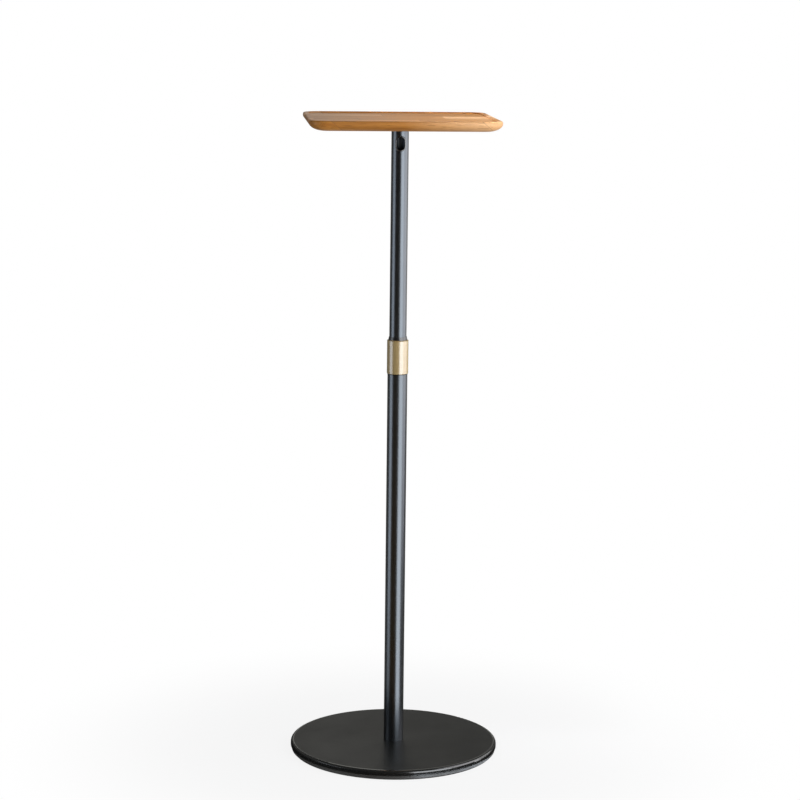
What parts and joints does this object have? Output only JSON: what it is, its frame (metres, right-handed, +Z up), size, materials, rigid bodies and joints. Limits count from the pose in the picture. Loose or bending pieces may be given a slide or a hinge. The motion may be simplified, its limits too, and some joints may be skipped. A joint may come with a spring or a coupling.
{
  "type": "projector floor stand",
  "caption": "Free-standing projector stand: round weighted foot, telescoping pole with a twist-lock collar and cable ports, and a rimmed wooden tray.",
  "frame": {"origin": "on the floor, at the centre of the round foot, under the pole's axis", "axes": "+Z up along the pole, -Y towards the front of the tray, +X to the right seen from the front"},
  "size_m": [0.3, 0.3, 0.92],
  "materials": {
    "black_coat": "satin black powder coat",
    "pale_gold": "brushed pale gold plate",
    "honey_wood": "edge-glued staves, satin oil",
    "black_nylon": "moulded, matt",
    "grommet_rubber": "smooth moulded rubber",
    "foot_rubber": "moulded, fine grain",
    "zinc_steel": "zinc plated"
  },
  "bodies": {
    "stand": {"base_pad": "foot_rubber", "base_plate": "black_coat", "foot_bolt": "zinc_steel", "foot_washer": "zinc_steel", "foot_plug": "zinc_steel", "lower_tube": "black_coat", "lower_grommet": "grommet_rubber", "collar_washer": "black_nylon"},
    "collar": {"twist_collar": "pale_gold"},
    "bush": {"collar_bush": "black_nylon"},
    "top": {"upper_tube": "black_coat", "upper_grommet": "grommet_rubber", "tube_glide": "black_nylon", "tray_flange": "black_coat", "tray_screw_1": "zinc_steel", "tray_screw_2": "zinc_steel", "tray_screw_3": "zinc_steel", "tray_screw_4": "zinc_steel", "tray_board": "honey_wood"}
  },
  "joints": [
    {"name": "collar_twist", "type": "hinge", "parent": "stand", "child": "collar", "pos_m": [0, 0, 0.58], "axis": [0, 0, 1], "range_deg": [0, 120]},
    {"name": "tray_swivel", "type": "hinge", "parent": "stand", "child": "bush", "pos_m": [0, 0, 0.58], "axis": [0, 0, 1], "range_deg": [-180, 180]},
    {"name": "height_slide", "type": "slide", "parent": "bush", "child": "top", "axis": [0, 0, 1], "range_m": [-0.25, 0.08]}
  ]
}
